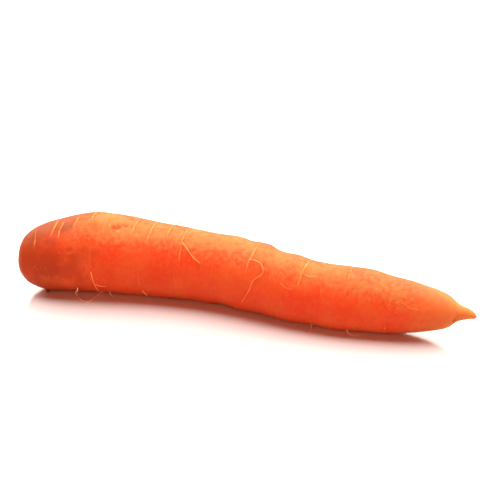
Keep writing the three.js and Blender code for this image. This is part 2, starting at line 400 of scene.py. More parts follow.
def apply_modifier(piece, kind, **settings):
    """Adds a modifier to the piece, sets it and applies it."""
    pick(piece)
    modifier = piece.modifiers.new(kind.lower(), kind)
    for key, value in settings.items():
        setattr(modifier, key, value)
    bpy.ops.object.modifier_apply(modifier=modifier.name)


ROUNDINGS = 2
apply_modifier(skin, "SUBSURF", levels=ROUNDINGS, render_levels=ROUNDINGS)
print("rounded faces:", len(skin.data.polygons))

# %% [markdown]
# ## Where each point of the skin is
#
# Almost everything that follows asks two questions about a point of the skin: how far is it
# from the crown, and at which angle around the root does it lie? Both are worked out once
# for every vertex. A helper turns a weight from 0 to 1 per vertex into relief, as one would
# press or raise clay through a stencil: a vertex group is the stencil, and a Displace
# modifier pushes along the normals.

# %% Measure the vertices and make the stencil tool
FAINTEST_WEIGHT = 0.002
HOLLOW_BELOW = -1.2
BODY_ABOVE = -0.2


def vertex_places(piece):
    """Where the piece's vertices are, in mm."""
    co = np.empty(len(piece.data.vertices) * 3)
    piece.data.vertices.foreach_get("co", co)
    return co.reshape(-1, 3) / MM


def turn_between(start, end):
    """The shorter way round from one angle to another, in degrees."""
    return (np.asarray(end) - start + 180) % 360 - 180


def press(piece, name, weights, height):
    """Raises the skin by height (mm) times the weight, or dents it where height is below 0."""
    group = piece.vertex_groups.new(name=name)
    for index in np.nonzero(weights > FAINTEST_WEIGHT)[0]:
        group.add((int(index),), float(weights[index]), "REPLACE")
    apply_modifier(piece, "DISPLACE", vertex_group=name, strength=height * MM, mid_level=0)
    piece.vertex_groups.remove(piece.vertex_groups[name])


places = vertex_places(skin)
AT = places[:, 0] - CROWN_X
AT_WITHIN = np.clip(AT, 0, ROOT_LENGTH)
OUT_Y = places[:, 1] - middle_side(AT_WITHIN)
OUT_Z = places[:, 2] - middle_height(AT_WITHIN)
AROUND = np.degrees(np.arctan2(OUT_Z, OUT_Y)) % 360
OVER_BODY = np.hypot(OUT_Y, OUT_Z) - half_thickness(AT_WITHIN)
ON_BODY = smooth(OVER_BODY, HOLLOW_BELOW, BODY_ABOVE)
print("vertices:", len(places), "on the body:", int((ON_BODY > 0.5).sum()))

# %% [markdown]
# ## Swells and dents
#
# No carrot is a turned cone. Stones in the soil leave broad swells and dents. They could be
# sculpted by hand, but the large ones stand in the CAD model too, so they come from the same
# list, each a soft hill in distance and angle. The five numbers of a row are the distance
# from the crown and the angle of the hill's top, its height, which is below 0 for a dent,
# how far it reaches along the root, and how many degrees it spreads round it.

# %% Press the broad swells and dents
SWELLS = (
    (112, 70, -0.5, 5, 50), (121, 70, 0.5, 5.5, 45), (130.5, 75, -0.45, 6, 50), (9, 80, 0.7, 4.5, 50),
    (20, 75, -0.4, 5, 50), (43, 70, 0.4, 5, 40), (58, 75, -0.45, 6, 50), (89, 75, 0.5, 6, 50),
    (98.5, 75, -0.6, 3, 50), (107, 75, 0.4, 3, 50), (125, 75, -0.45, 4, 50), (140, 75, 0.4, 6, 50),
    (40, 240, -0.5, 7, 28), (62, 240, 0.35, 7, 28), (88.5, 238, -0.85, 4.5, 28), (98, 240, 0.5, 4, 28),
    (117, 240, 0.45, 6, 28), (120, 140, -0.4, 4, 18), (41, 115, -0.3, 4, 18), (44, 10, 0.45, 11, 50),
    (86, 25, -0.4, 9, 50), (151, 350, 0.4, 8, 50), (24, 330, -0.3, 8, 40),
)


def soft_hill(at, angle, reach, spread):
    """1 at a place on the skin, fading with distance (mm) and angle (degrees)."""
    along = (AT - at) / reach
    across = turn_between(angle, AROUND) / spread
    return np.exp(-along * along - across * across) * ON_BODY


raised = sum(soft_hill(a, b, r, s) * max(h, 0) for a, b, h, r, s in SWELLS)
dented = sum(soft_hill(a, b, r, s) * max(-h, 0) for a, b, h, r, s in SWELLS)
press(skin, "swells", raised, 1.0)
press(skin, "dents", dented, -1.0)
print("highest swell, mm:", round(float(raised.max()), 2))
print("deepest dent, mm:", round(float(dented.max()), 2))

# %% [markdown]
# ## Root scars
#
# Side roots once grew from the carrot in four rows. Where they broke off, the skin healed to
# a pale, slightly raised line that runs part of the way round. Each one is given by where it
# lies, the two angles between which it runs, its slant, how high it stands and how bright it
# is. The side away from us has its own: each scar gets a partner there.
#
# The lines aren't perfectly straight. A slow wave and a seeded noise bend each a little, and
# a share fades it out at both ends, so it tapers to a point. The noise is mathutils.noise,
# sampled at every vertex in millimetres, so it doesn't depend on how fine the mesh is.

# %% Work out how far each vertex is from its nearest scar
SCARS = (
    (7.7, 98, 150, 1.9, 0.2, 0.7), (15, 84, 134, 0.4, 0.25, 0.8), (18.4, 96, 146, 0.4, 0.25, 1),
    (24, 84, 124, 0, 0.25, 0.7), (30.4, 77, 108, 0, 0.25, 0.85), (33.3, 150, 186, 0.8, 0.12, 0.35),
    (37, 88, 140, -0.2, 0.15, 0.5), (48.6, 74, 134, 0, 0.25, 0.9), (53.8, 170, 214, 0, 0.12, 0.4),
    (56, 76, 138, 0, 0.25, 1), (63.7, 76, 128, -0.6, 0.25, 0.9), (69.4, 172, 222, 0, 0.12, 0.45),
    (70.9, 78, 162, 0.6, 0.3, 0.85), (101.9, 80, 160, -2.7, 0.25, 0.95), (125.1, 78, 160, -2.1, 0.3, 1),
    (133.6, 138, 170, 1.2, 0.12, 0.35), (144, 78, 134, 0, 0.25, 0.85), (160, 196, 238, -1.2, 0.12, 0.35),
)
FAR_TURN = 190
FAR_WANDER = 45
FAR_RHYTHM = 2.4
FAR_LENGTH = 0.7
BEND_STEP = 3
BEND_RHYTHM = 3.1
SCAR_BEND = 0.2
SCAR_WOBBLE = 0.35
SCAR_REACH = 1.5
FADE_FROM = 0.3
FADE_TO = 1.1
NO_SCAR_NEAR = 99.0


def skin_noise(scale, seed, stretch=(1, 1, 1)):
    """Noise from -1 to 1 at every vertex; scale is its grain in mm, stretched along X, Y and Z."""
    shift = Vector((seed, seed * 1.7, seed * 0.6))
    grain = places / (scale * np.array(stretch))
    return np.array([noise.noise(Vector(point) + shift) for point in grain])


def far_partner(index, scar):
    """The like scar on the side away from us, turned and shortened."""
    at, start, end, slant, height, brightness = scar
    middle = (start + end) / 2 + FAR_TURN + FAR_WANDER * math.sin(FAR_RHYTHM * index)
    half = (end - start) / 2 * FAR_LENGTH
    return (at, middle - half, middle + half, slant, height, brightness)


all_scars = list(SCARS) + [far_partner(i, scar) for i, scar in enumerate(SCARS)]


def scar_lines(scars):
    """For each vertex: offset from the nearest scar (mm), its share, height and brightness."""
    offset = np.full(len(AT), NO_SCAR_NEAR)
    share = np.zeros(len(AT))
    height = np.zeros(len(AT))
    bright = np.zeros(len(AT))
    wobble = SCAR_WOBBLE * skin_noise(4, seed=12)
    for index, (at, start, end, slant, rise, brightness) in enumerate(scars):
        turn = turn_between((start + end) / 2, AROUND)
        half = (end - start) / 2
        bend = SCAR_BEND * np.sin(np.radians(turn) * BEND_RHYTHM + BEND_STEP * index)
        from_line = AT - at - slant * np.sin(np.radians(turn)) - bend - wobble
        ends = 1 - smooth(np.abs(turn), half * FADE_FROM, half * FADE_TO)
        closer = (np.abs(from_line) < np.abs(offset)) & (ends > 0)
        offset[closer] = from_line[closer]
        share[closer] = ends[closer]
        height[closer] = rise
        bright[closer] = brightness
    share[np.abs(offset) > SCAR_REACH] = 0
    return offset, share * ON_BODY, height, bright


scar_offset, scar_share, scar_height, scar_bright = scar_lines(all_scars)
scar_distance = np.abs(scar_offset)
print("vertices beside a scar:", int((scar_distance < SCAR_REACH).sum()))

# %% [markdown]
# The lines could be left to the material alone, but a real scar also catches the light. So
# each is raised to a low ridge with a shallow groove on both sides. Its colour comes later,
# from the same numbers.

# %% Raise the scars and press the grooves beside them
RIDGE_WIDTH = 0.5
RIDGE_HEIGHT = 0.9
GROOVE_PLACE = 1.0
GROOVE_WIDTH = 0.4
GROOVE_DEPTH = 0.4
ridge = np.exp(-((scar_distance / RIDGE_WIDTH) ** 2)) * scar_share * scar_height
from_groove = (scar_distance - GROOVE_PLACE) / GROOVE_WIDTH
groove = np.exp(-(from_groove**2)) * scar_share * scar_height
press(skin, "scar_ridges", ridge, RIDGE_HEIGHT)
press(skin, "scar_grooves", groove, -GROOVE_DEPTH)
print("highest ridge, mm:", round(float(ridge.max()) * RIDGE_HEIGHT, 2))

# %% [markdown]
# ## Pits, knocks and bumps
#
# Between the scars the skin carries the marks of its life in the soil: a crescent-shaped
# nick near the crown, knocks with an orange-red bruise, small round pits with a pale rim,
# and tiny raised spots. They are pressed one kind at a time. A row of PITS or BUMPS reads as
# a row of the swells does, only that its third number is a depth in PITS.

# %% Press pits and marks
PITS = (
    (42.4, 113, 0.35, 2.2, 7), (45.2, 106, 0.25, 1.4, 4.5), (51.4, 118, 0.3, 0.9, 3.2),
    (119.8, 140, 0.3, 2.4, 9), (25, 155, 0.6, 1.3, 2.2), (19.6, 161, 0.25, 0.6, 2.2),
    (59.2, 125, 0.2, 0.6, 2.5), (98.5, 138, 0.25, 0.7, 3), (153.5, 149, 0.25, 0.8, 3.5),
    (154.6, 145, 0.25, 0.7, 3), (163.5, 150, 0.25, 0.9, 4), (166, 143, 0.2, 0.8, 4),
    (160.9, 197, 0.3, 0.6, 9), (116, 132, 0.2, 0.7, 3), (131, 205, 0.2, 0.8, 4),
    (14.8, 192, 0.3, 0.6, 2.2), (127, 217, 0.25, 0.8, 4), (29, 188, 0.2, 0.7, 3),
    (9.5, 190, 0.25, 0.9, 5), (13, 222, 0.2, 1.2, 5), (187.6, 208, 0.35, 0.9, 22),
    (63, 330, 0.3, 1.4, 6), (108, 20, 0.3, 1.2, 6), (150, 300, 0.25, 1.1, 6),
    (34, 60, 0.25, 1.0, 5), (78, 265, 0.25, 1.2, 6), (120, 350, 0.3, 1.5, 8), (170, 40, 0.25, 1.0, 7),
)
BUMPS = (
    (23.2, 156.5, 0.2, 0.5, 1.8), (24.2, 159.5, 0.25, 0.6, 1.6), (25.6, 160.5, 0.25, 0.7, 1.5),
    (26.9, 157.5, 0.22, 0.5, 1.8), (20.2, 157, 0.3, 0.6, 2), (160.4, 208, 0.35, 0.5, 5),
    (42.9, 119, 0.35, 0.7, 2.4), (43.6, 99, 0.25, 1.1, 3.5), (96.9, 137, 0.3, 0.5, 2.2),
    (153.8, 153.5, 0.3, 0.5, 2.6), (164.8, 168, 0.25, 0.6, 3), (12.6, 120, 0.15, 2, 7),
    (71, 300, 0.3, 0.7, 3), (104, 352, 0.3, 0.7, 3), (158, 20, 0.3, 0.8, 4),
)
pits = sum(soft_hill(a, b, r, s) * d for a, b, d, r, s in PITS)
press(skin, "pits", pits, -1.0)
bumps = sum(soft_hill(a, b, r, s) * h for a, b, h, r, s in BUMPS)
press(skin, "bumps", bumps, 1.0)
print("deepest pit, mm:", round(float(pits.max()), 2))

# %% [markdown]
# Up close, grown skin is never even: it has lumps about a centimetre wide, smaller dimples,
# and creases that run round the root. Three noises give them. A noise can only raise the
# skin, because a stencil has no weights below zero. So the whole skin is let down again
# afterwards by the middle of what was added, and the root keeps its thickness.

# %% Give the skin its unevenness
LUMP_GRAIN = 11
LUMP_HEIGHT = 0.28
DIMPLE_GRAIN = 3.4
DIMPLE_HEIGHT = 0.11
CREASE_GRAIN = 1.5
CREASE_STRETCH = (1, 7, 7)
CREASE_DEPTH = 0.07
CREASE_SHARPNESS = 4
CREASED_AREA = 14
FAINT_CREASES = 0.35
lumps = skin_noise(LUMP_GRAIN, seed=4) * 0.5 + 0.5
press(skin, "lumps", lumps * ON_BODY, LUMP_HEIGHT)
dimples = skin_noise(DIMPLE_GRAIN, seed=9) * 0.5 + 0.5
press(skin, "dimples", dimples * ON_BODY, DIMPLE_HEIGHT)
creases = (1 - np.abs(skin_noise(CREASE_GRAIN, seed=2, stretch=CREASE_STRETCH))) ** CREASE_SHARPNESS
creased = smooth(skin_noise(CREASED_AREA, seed=6), -0.2, 0.4)
crease_share = FAINT_CREASES + (1 - FAINT_CREASES) * creased
press(skin, "creases", creases * crease_share * ON_BODY, -CREASE_DEPTH)
press(skin, "settling", ON_BODY, -(LUMP_HEIGHT + DIMPLE_HEIGHT - CREASE_DEPTH) / 2)
print("lumps from", round(float(lumps.min()), 2), "to", round(float(lumps.max()), 2))

# %% [markdown]
# ## Flat resting spots
#
# Under its own weight a carrot rests on a few small flat spots. The curves above already
# let the belly dip a little below the surface there, so the part that dips is pushed back up
# to Z = 0. In edit mode the low vertices are picked by their height and flattened with a
# resize to zero along Z, about the surface.

# %% Flatten the belly where it rests
pick(skin)
bpy.ops.object.mode_set(mode="EDIT")
bpy.ops.mesh.select_all(action="DESELECT")
bpy.ops.object.mode_set(mode="OBJECT")
low = vertex_places(skin)[:, 2] < 0
for index in np.nonzero(low)[0]:
    skin.data.vertices[int(index)].select = True
bpy.ops.object.mode_set(mode="EDIT")
bpy.ops.transform.resize(value=(1, 1, 0), center_override=(0, 0, 0))
bpy.ops.object.mode_set(mode="OBJECT")
bpy.ops.object.shade_smooth()
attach(skin, "root")
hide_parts("taproot")
print("flat vertices:", int(low.sum()), "lowest:", round(float(vertex_places(skin)[:, 2].min()), 4))

# %% [markdown]
# ## Maps for the colour of the skin
#
# The material needs to know where the scars, bruises and dry patches are, and where the
# shoulder behind the crown is tanned brown. The dry patches on the upper side are also a
# painted highlight that makes the top of the root paler, and the brown on the crown's
# shoulder is partly painted shade on the top of the crown. Those facts are stored on the mesh
# as attributes, one number for each vertex. The shader reads them like a painter's masks, and
# adds the fine grain with noise of its own.
#
# A row of these tables reads as a row of the swells does, only that its third number is how
# strong the mark is, from 0 to 1. The other masks hold the scars, the tops of the bumps, the
# distance from the crown, and its hollow.

# %% Store the masks on the mesh
BRUISES = (
    (40.4, 112, 1.0, 1.2, 4), (42.2, 110.5, 1.0, 1.2, 4), (45.2, 106, 0.8, 1.5, 5),
    (66.3, 118, 0.5, 0.8, 3), (72.6, 105, 0.6, 1.2, 4), (119.8, 140, 0.8, 2.4, 7),
    (25, 150, 0.35, 2, 5), (60, 245, 0.4, 3, 9), (20, 305, 0.6, 2, 8), (101, 10, 0.5, 2, 7),
)
# Dry skin and painted highlight: the patches from 104 to 132 degrees lie on the upper side and make the
# top paler, as the lamp above would; those at 0 and 330 degrees are only dry skin.
DRY_AND_PAINTED_LIGHT_PATCHES = (
    (36, 104, 1.0, 7, 30), (46, 112, 0.9, 8, 26), (28, 112, 0.6, 8, 26), (57, 108, 0.75, 8, 30),
    (72, 108, 0.65, 10, 32), (90, 106, 0.7, 12, 34), (110, 108, 0.7, 12, 35), (130, 110, 0.7, 12, 35),
    (150, 124, 0.65, 12, 32), (166, 132, 0.6, 10, 30), (60, 0, 0.7, 12, 34), (118, 330, 0.6, 14, 30),
)
# A brown tan on the crown's shoulder, partly painted shade: it darkens the top of the crown, which turns
# away from the lamp.
TANNED_AND_SHADED_SHOULDER = ((4, 105, 0.9, 10, 34), (18, 98, 0.9, 10, 26))
ROUGH_PATCHES = (
    (153, 132, 1.0, 8, 14), (165, 148, 1.0, 8, 14), (44, 112, 0.8, 9, 16), (24, 130, 0.5, 9, 24),
    (117, 132, 0.5, 8, 16), (128, 213, 0.7, 5, 12), (98, 143, 0.6, 4, 10), (12, 200, 0.5, 9, 40),
    (88, 330, 0.8, 14, 30), (150, 10, 0.8, 12, 30),
)
DARK_SPOTS = (
    (19.6, 161, 0.8, 0.55, 2), (14.8, 192, 0.8, 0.5, 1.8), (14.6, 168, 0.5, 1, 3),
    (25, 155.8, 0.55, 1.1, 1.3), (187.4, 208, 0.9, 0.8, 16), (192.4, 118, 0.5, 1.4, 22),
    (184.4, 107, 0.4, 1.2, 8), (11.8, 241, 0.8, 1.2, 4), (116, 207, 0.5, 0.6, 3),
    (124.2, 213, 0.5, 0.6, 3), (160.9, 215, 0.4, 0.4, 14), (117.4, 130, 0.4, 0.7, 3),
    (52, 116, 0.4, 0.4, 3), (83, 318, 0.6, 0.7, 3), (137, 25, 0.6, 0.6, 3), (30, 10, 0.6, 0.8, 3),
)
FULL_BUMP = 0.3


def store(piece, name, values):
    """Keeps one number for each vertex under a name that the material can read."""
    attribute = piece.data.attributes.new(name, "FLOAT", "POINT")
    attribute.data.foreach_set("value", np.ascontiguousarray(values, dtype=np.float32))


def patches(rows):
    return np.clip(sum(soft_hill(a, b, r, s) * w for a, b, w, r, s in rows), 0, 1)


store(skin, "scar", scar_bright * scar_share)
store(skin, "scar_offset", np.clip(scar_offset, -SCAR_REACH, SCAR_REACH))
store(skin, "bruise", patches(BRUISES))
# Dry skin, and on the upper side a painted highlight that makes the top paler.
store(skin, "dry_and_painted_light", patches(DRY_AND_PAINTED_LIGHT_PATCHES))
# A tan on the crown's shoulder, partly painted shade on the top of the crown.
store(skin, "tan_and_painted_shade", patches(TANNED_AND_SHADED_SHOULDER))
store(skin, "rough_patch", patches(ROUGH_PATCHES))
store(skin, "dark_spot", patches(DARK_SPOTS))
store(skin, "along", AT)
store(skin, "hollow", 1 - ON_BODY)
store(skin, "bump_top", np.clip(bumps / FULL_BUMP, 0, 1))
print("attributes:", [a.name for a in skin.data.attributes if a.domain == "POINT"])

# %% [markdown]
# ## The skin's material
#
# Carrot skin is a deep red-orange, darker and browner at the crown and more yellow at the
# tip, where the root is youngest. It is thin and damp-looking but not glossy, and a little
# light travels under it, which softens its shadows. The colour is built in layers, each laid
# over the last: base, broad mottling, streaks that run round the root, fine grain and pores,
# then the dry and bruised places, the crown and the tip, specks, and the scars. The dry places
# on the upper side are also a painted highlight that pales the top, and the tan on the crown's
# shoulder is partly painted shade.
#
# A few short helpers keep the node code readable. Most add a node or two, link what they are
# given, and hand back the output socket.

# %% Helpers for node materials
class Nodes:
    """Adds nodes to one material and links them."""

    def __init__(self, name, colour):
        self.material = bpy.data.materials.new(name)
        self.material.use_nodes = True
        self.material.diffuse_color = (*colour, 1)
        self.tree = self.material.node_tree
        self.shader = self.tree.nodes["Principled BSDF"]
        self.place = self.tree.nodes.new("ShaderNodeTexCoord").outputs["Object"]

    def plug(self, value, socket):
        if isinstance(value, bpy.types.NodeSocket):
            self.tree.links.new(value, socket)
        else:
            socket.default_value = value

    def mask(self, name):
        node = self.tree.nodes.new("ShaderNodeAttribute")
        node.attribute_name = name
        return node.outputs["Fac"]

    def grain(self, size, detail, seed, stretch=(1, 1, 1), roughness=0.5, warp=0.0):
        """Noise from 0 to 1 whose blobs are about size mm across."""
        mapping = self.tree.nodes.new("ShaderNodeMapping")
        mapping.inputs["Location"].default_value = (seed, seed * 0.7, seed * 1.3)
        mapping.inputs["Scale"].default_value = [1 / (size * MM * s) for s in stretch]
        self.plug(self.place, mapping.inputs["Vector"])
        node = self.tree.nodes.new("ShaderNodeTexNoise")
        node.inputs["Scale"].default_value = 1
        node.inputs["Detail"].default_value = detail
        node.inputs["Roughness"].default_value = roughness
        node.inputs["Distortion"].default_value = warp
        self.plug(mapping.outputs["Vector"], node.inputs["Vector"])
        return node.outputs["Fac"]

    def ramp(self, value, low, high, to_low=0.0, to_high=1.0):
        """Goes softly from to_low where the value is low to to_high where it is high."""
        node = self.tree.nodes.new("ShaderNodeMapRange")
        node.interpolation_type = "SMOOTHSTEP"
        self.plug(value, node.inputs["Value"])
        node.inputs["From Min"].default_value = low
        node.inputs["From Max"].default_value = high
        node.inputs["To Min"].default_value = to_low
        node.inputs["To Max"].default_value = to_high
        return node.outputs["Result"]

    def math(self, kind, a, b=0.0):
        node = self.tree.nodes.new("ShaderNodeMath")
        node.operation = kind
        self.plug(a, node.inputs[0])
        self.plug(b, node.inputs[1])
        return node.outputs["Value"]

    def times(self, a, b):
        return self.math("MULTIPLY", a, b)

    def mix(self, share, under, over):
        """Lays a share, from 0 to 1, of the colour over on the colour under."""
        node = self.tree.nodes.new("ShaderNodeMix")
        node.data_type = "RGBA"
        self.plug(share, node.inputs["Factor"])
        for value, socket in ((under, node.inputs["A"]), (over, node.inputs["B"])):
            self.plug(value if isinstance(value, bpy.types.NodeSocket) else (*value, 1), socket)
        return node.outputs["Result"]

    def bump(self, height, depth, normal=None):
        """Bump whose full height is depth, in mm."""
        node = self.tree.nodes.new("ShaderNodeBump")
        node.inputs["Distance"].default_value = depth * MM
        self.plug(height, node.inputs["Height"])
        if normal:
            self.plug(normal, node.inputs["Normal"])
        return node.outputs["Normal"]

    def finish(self, colour, roughness, normal, **settings):
        """Plugs the layers into the shader and sets what is the same all over on its sockets."""
        self.plug(colour, self.shader.inputs["Base Color"])
        self.plug(roughness, self.shader.inputs["Roughness"])
        self.plug(normal, self.shader.inputs["Normal"])
        for name, value in settings.items():
            self.shader.inputs[name.replace("_", " ")].default_value = value
        return self.material


# %% [markdown]
# The skin could be painted on an image, but noise in the object's own space needs no
# unwrapping and stays sharp from close by. Each layer mixes one of the colours below over
# the last, by a share that a noise or a mask gives. Three bumps then add what is too fine
# for the mesh: grit, wrinkles and a slight unevenness.

# %% Mix the skin's colour
DEEP_ORANGE = (0.46, 0.052, 0.013)
WARM_ORANGE = (0.47, 0.088, 0.020)
RED_ORANGE = (0.43, 0.038, 0.010)
TIP_ORANGE = (0.42, 0.140, 0.036)
TIP_YELLOW = (0.38, 0.18, 0.045)
CROWN_BROWN = (0.26, 0.038, 0.0075)
CROWN_OLIVE = (0.24, 0.072, 0.018)
# Brown of the tanned shoulder, partly painted shade on the top of the crown.
TAN_AND_PAINTED_SHADE_BROWN = (0.17, 0.042, 0.006)
HOLLOW_BROWN = (0.24, 0.065, 0.020)
# The tan of dry skin, laid on the upper side also as a painted highlight.
DRY_AND_PAINTED_LIGHT_TAN = (0.29, 0.165, 0.044)
SCAR_YELLOW = (0.50, 0.19, 0.045)
SCAR_EDGE = (0.33, 0.036, 0.008)
SPECK_BROWN = (0.20, 0.038, 0.014)
PALE_SPECK = (0.60, 0.24, 0.085)
STREAK_PALE = (0.52, 0.12, 0.027)


def crown_and_tip(n, colour, along, mottle):
    """The skin turns brown in blotches at the crown, and orange and then yellow at the tip."""
    blotch = n.grain(6, detail=4, roughness=0.55, stretch=(1, 1.2, 1.2), seed=13)
    crown_edge = n.math("ADD", along, n.ramp(blotch, 0.3, 0.7, 10, -10))
    colour = n.mix(n.ramp(crown_edge, 44, 3, 0, 0.95), colour, CROWN_BROWN)
    # The tanned shoulder: a real tan, and partly painted shade that darkens the top of the crown.
    tan_and_painted_shade_edge = n.math("ADD", n.mask("tan_and_painted_shade"), n.ramp(blotch, 0.3, 0.7, -0.2, 0.2))
    colour = n.mix(n.ramp(tan_and_painted_shade_edge, 0.15, 0.8, 0, 0.65), colour, TAN_AND_PAINTED_SHADE_BROWN)
    rim_edge = n.math("ADD", along, n.ramp(mottle, 0.3, 0.7, 1.5, -1.5))
    colour = n.mix(n.ramp(rim_edge, 3.2, 0, 0, 0.7), colour, CROWN_OLIVE)
    tip_edge = n.math("ADD", along, n.ramp(mottle, 0.3, 0.7, -2.5, 2.5))
    colour = n.mix(n.ramp(tip_edge, 158, 189, 0, 1.0), colour, TIP_ORANGE)
    return n.mix(n.ramp(tip_edge, 183, 195, 0, 0.95), colour, TIP_YELLOW)


def carrot_skin_material():
    n = Nodes("carrot_skin", DEEP_ORANGE)
    along = n.mask("along")
    broad = n.grain(16, detail=3, seed=1)
    colour = n.mix(n.ramp(broad, 0.35, 0.7), DEEP_ORANGE, WARM_ORANGE)
    mottle = n.grain(2.2, detail=4, roughness=0.6, seed=2)
    colour = n.mix(n.ramp(mottle, 0.45, 0.75, 0, 0.45), colour, WARM_ORANGE)
    colour = n.mix(n.ramp(mottle, 0.5, 0.25, 0, 0.4), colour, RED_ORANGE)
    streaks = n.grain(0.7, detail=3, stretch=(1, 16, 16), seed=3, warp=0.4)
    colour = n.mix(n.ramp(streaks, 0.58, 0.78, 0, 0.4), colour, STREAK_PALE)
    fine = n.grain(0.45, detail=2, roughness=0.7, seed=4)
    colour = n.mix(n.ramp(fine, 0.55, 0.8, 0, 0.3), colour, WARM_ORANGE)
    pores = n.grain(0.9, detail=3, roughness=0.7, stretch=(1, 2, 2), seed=15)
    colour = n.mix(n.ramp(pores, 0.52, 0.72, 0, 0.35), colour, STREAK_PALE)
    colour = n.mix(n.ramp(pores, 0.48, 0.3, 0, 0.4), colour, RED_ORANGE)

    # Dry patches, and on the upper side a painted highlight that pales the top.
    dry_and_painted_light_edge = n.math("ADD", n.mask("dry_and_painted_light"), n.ramp(mottle, 0.3, 0.7, -0.3, 0.3))
    colour = n.mix(n.ramp(dry_and_painted_light_edge, 0.12, 0.92, 0, 0.62), colour, DRY_AND_PAINTED_LIGHT_TAN)
    colour = n.mix(n.ramp(n.mask("bruise"), 0.2, 0.9, 0, 0.8), colour, RED_ORANGE)
    colour = crown_and_tip(n, colour, along, mottle)

    specks = n.grain(0.8, detail=1, seed=5)
    speck_share = n.ramp(specks, 0.61, 0.7, 0, 0.6)
    rough_share = n.ramp(n.mask("rough_patch"), 0.1, 0.7)
    colour = n.mix(n.times(speck_share, n.math("MAXIMUM", rough_share, 0.25)), colour, SPECK_BROWN)
    pale = n.grain(0.9, detail=1, seed=8)
    pale_share = n.times(n.ramp(pale, 0.6, 0.74, 0, 0.5), rough_share)
    pale_share = n.math("MAXIMUM", pale_share, n.ramp(n.mask("bump_top"), 0.4, 1.0, 0, 0.45))
    colour = n.mix(pale_share, colour, PALE_SPECK)
    colour = n.mix(n.ramp(n.mask("dark_spot"), 0.2, 0.8, 0, 0.85), colour, SPECK_BROWN)

    strength = n.mask("scar")
    swell = n.ramp(n.grain(4.5, detail=1, seed=14), 0.38, 0.62, 0.45, 1.3)
    width = n.times(n.ramp(strength, 0.1, 0.8, 0.4, 1.15), swell)
    from_line = n.math("DIVIDE", n.math("ABSOLUTE", n.mask("scar_offset")), width)
    wear = n.ramp(n.grain(2.2, detail=3, seed=6), 0.3, 0.6, 0.4, 1.0)
    tails = n.ramp(strength, 0.04, 0.4, 0, 0.55)
    scar = n.times(n.math("MAXIMUM", tails, n.ramp(strength, 0.4, 0.9)), wear)
    colour = n.mix(n.times(n.ramp(from_line, 0.95, 0.5, 0, 0.45), scar), colour, SCAR_EDGE)
    colour = n.mix(n.times(n.ramp(from_line, 0.44, 0.22), scar), colour, SCAR_YELLOW)
    colour = n.mix(n.times(n.mask("hollow"), 0.85), colour, HOLLOW_BROWN)

    grit = n.bump(n.grain(0.5, detail=3, roughness=0.6, seed=7), 0.05)
    wrinkles = n.bump(n.grain(0.55, detail=2, stretch=(1, 12, 12), seed=3), 0.06, grit)
    uneven = n.bump(mottle, 0.12, wrinkles)
    shine = n.ramp(mottle, 0.3, 0.7, 0.44, 0.56)
    roughness = n.math("ADD", shine, n.ramp(n.math("MAXIMUM", n.mask("dry_and_painted_light"), scar), 0.2, 0.8, 0, 0.18))
    return n.finish(
        colour,
        roughness,
        uneven,
        Specular_IOR_Level=0.08,
        Subsurface_Weight=0.8,
        Subsurface_Radius=(1.0, 0.16, 0.06),
        Subsurface_Scale=8 * MM,
    )


skin.data.materials.append(carrot_skin_material())
print("skin faces:", len(skin.data.polygons))

# %% [markdown]
# ## Rootlets
#
# A few side roots survived washing: thin, curled, wiry threads that start on a scar and lie
# along the skin or stand a little proud. Each has a radius at its start, one at its end, and
# a short list of points on the skin, given by distance, angle and height over it. A curve
# through them takes a round bevel that thins towards the end, and is then converted to a
# mesh, because only a mesh can be exported.

# %% Draw the rootlets
ROOTLETS = (
    (0.30, 0.16, (
        (70.6, 120, -0.5), (71.4, 124, 0.35), (74, 133, 0.6), (77.3, 144, 0.9), (80.4, 150, 1.2),
    )),
    (0.24, 0.12, (
        (100.7, 129, -0.4), (101.9, 129, 0.2), (104.4, 128, 0.4), (107.2, 132, 0.4), (108.2, 144, 0.4),
        (104.8, 159, 0.4), (103.1, 176, 0.5), (99.5, 203, 0.6),
    )),
    (0.24, 0.14, ((123.8, 124, -0.4), (125.2, 125, 0.2), (128, 128, 0.5), (131.4, 124, 0.6))),
    (0.28, 0.16, ((33.6, 184, -0.5), (34.1, 190, 0.2), (34.6, 206, 0.4), (35, 229, 0.8))),
    (0.22, 0.12, ((34.6, 208, -0.5), (35.6, 208.5, 0.3), (39.4, 208.5, 0.6))),
    (0.32, 0.22, ((54.4, 216, -0.5), (54.8, 218.5, 0.4), (55.8, 222, 0.9), (55.9, 227, 0.9))),
    (0.28, 0.14, ((47, 20, -0.5), (48, 15, 0.4), (52, 5, 0.6), (57.5, 0, 0.8))),
    (0.26, 0.12, ((92, 340, -0.5), (93, 345, 0.4), (95, 357, 0.6), (92.4, 372, 0.7))),
    (0.26, 0.12, ((139, 30, -0.5), (140, 26, 0.4), (144.4, 18, 0.6), (147, 6, 0.7))),
)
FINE_HAIRS = (
    (0.2, 0.14, ((64.2, 74, -0.4), (65.2, 74, 0.9), (67, 74, 1.6), (68.6, 74, 1.3), (69.6, 76, -0.4))),
    (0.22, 0.15, (
        (106.4, 74, -0.3), (107.8, 74, 0.2), (108.7, 74, 1.5), (108.2, 74, 2.8), (106.2, 74, 3.8),
    )),
    (0.12, 0.07, ((54.8, 106, -0.3), (58, 99, 0.3), (62, 97, 0.35), (66.5, 94, 0.3), (69, 98, -0.3))),
    (0.12, 0.08, ((115.6, 148, -0.4), (117.6, 154, 0.3), (119.6, 156, 0.3), (121.8, 156, 0.2))),
    (0.1, 0.07, ((164, 146, -0.3), (167.5, 149, 0.25), (170, 156, 0.25), (173.4, 158, 0.15))),
)


